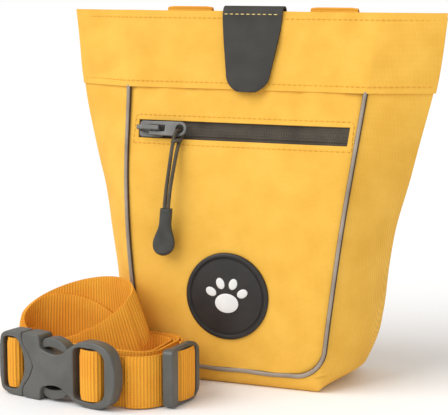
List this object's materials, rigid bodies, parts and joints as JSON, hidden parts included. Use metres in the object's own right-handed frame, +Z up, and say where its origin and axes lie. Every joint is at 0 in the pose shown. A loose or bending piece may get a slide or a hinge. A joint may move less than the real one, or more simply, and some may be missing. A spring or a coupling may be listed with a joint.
{
  "type": "treat pouch",
  "caption": "Tapered canvas treat pouch with a magnetic mouth, pull tab, zipped front pocket with cord puller, round badge and a coiled waist belt with a side-release buckle.",
  "frame": {"origin": "centre of the pouch's flat base, on the surface it stands on", "axes": "+Z up, +X across the pouch to the right seen from the front, -Y towards the front with the zip and badge"},
  "size_m": [0.2133, 0.1359, 0.191],
  "materials": {
    "canvas": "woven, matt",
    "webbing": "ribbed, matt",
    "lining": "plain weave, coated",
    "piping": "reflective braid",
    "plastic": "fine texture",
    "tab_rubber": "leather-like grain",
    "badge_rubber": "smooth, matt",
    "emblem": "smooth",
    "zip_tape": "fine weave",
    "zip_coil": "satin",
    "slider_metal": "satin",
    "cord": "braided",
    "grip_rubber": "textured",
    "magnet": "plated"
  },
  "bodies": {
    "pouch": {"front_panel": "canvas", "back_panel": "canvas", "gusset": "canvas", "front_piping": "piping", "back_collar": "canvas", "back_facing": "lining", "back_magnets": "magnet", "inner_lining": "lining", "pocket_bag": "lining", "zip_tape_upper": "zip_tape", "zip_tape_lower": "zip_tape", "zip_coil_upper": "zip_coil", "zip_coil_lower": "zip_coil", "zip_end_stops": "zip_coil", "badge_base": "badge_rubber", "badge_emblem": "emblem", "belt_loop_left": "webbing", "belt_loop_right": "webbing"},
    "front_collar": {"front_collar": "canvas", "front_facing": "lining", "front_magnets": "magnet", "tab_saddle": "tab_rubber"},
    "opening_tab": {"opening_tab": "tab_rubber"},
    "zip_slider": {"zip_slider_body": "slider_metal"},
    "zip_pull": {"zip_pull_tab": "slider_metal"},
    "cord_pull": {"pull_cord": "cord", "pull_grip": "grip_rubber"},
    "belt": {"webbing_coil": "webbing", "webbing_top_turn": "webbing", "webbing_wrap_female": "webbing", "adjuster_strap": "webbing", "buckle_female": "plastic"},
    "buckle_male": {"buckle_male": "plastic", "webbing_wrap_male": "webbing"},
    "latch_arm_upper": {"buckle_arm_upper": "plastic"},
    "latch_arm_lower": {"buckle_arm_lower": "plastic"},
    "tri_glide": {"tri_glide": "plastic", "webbing_tail": "webbing"}
  },
  "joints": [
    {"name": "mouth_open", "type": "hinge", "parent": "pouch", "child": "front_collar", "pos_m": [0, -0.0145, 0.1503], "axis": [1, 0, 0], "range_deg": [0, 25]},
    {"name": "tab_lift", "type": "hinge", "parent": "front_collar", "child": "opening_tab", "pos_m": [0.0026, -0.0085, 0.1847], "axis": [-1, 0, 0], "range_deg": [0, 110]},
    {"name": "zip_slide", "type": "slide", "parent": "pouch", "child": "zip_slider", "axis": [1, 0, 0], "range_m": [0, 0.089]},
    {"name": "zip_tab_flip", "type": "hinge", "parent": "zip_slider", "child": "zip_pull", "pos_m": [-0.047, -0.02328, 0.12909], "axis": [0, -0.2696, -0.963], "range_deg": [0, 145]},
    {"name": "cord_swing", "type": "hinge", "parent": "zip_pull", "child": "cord_pull", "pos_m": [-0.0312, -0.02328, 0.12909], "axis": [0, -1, 0], "range_deg": [0, 50], "deforming": ["pull_cord"]},
    {"name": "belt_pull_away", "type": "slide", "parent": "pouch", "child": "belt", "axis": [0, -1, 0], "range_m": [0, 0.15]},
    {"name": "buckle_release", "type": "slide", "parent": "belt", "child": "buckle_male", "axis": [-0.9806, 0.196, 0], "range_m": [0, 0.03], "deforming": ["buckle_arm_upper", "buckle_arm_lower"]},
    {"name": "latch_press_upper", "type": "hinge", "parent": "buckle_male", "child": "latch_arm_upper", "pos_m": [-0.08326, -0.08655, 0.0259], "axis": [0.196, 0.9806, 0], "range_deg": [0, 8], "stiffness_Nm_per_rad": 0.1},
    {"name": "latch_press_lower", "type": "hinge", "parent": "buckle_male", "child": "latch_arm_lower", "pos_m": [-0.08326, -0.08655, 0.0071], "axis": [0.196, 0.9806, 0], "range_deg": [-8, 0], "stiffness_Nm_per_rad": 0.1},
    {"name": "tri_glide_slide", "type": "slide", "parent": "belt", "child": "tri_glide", "axis": [0.1219, 0.9925, 0], "range_m": [0, 0.009]}
  ],
  "couplings": [
    {"joint": "latch_press_lower", "follows": "latch_press_upper", "ratio": -1}
  ]
}
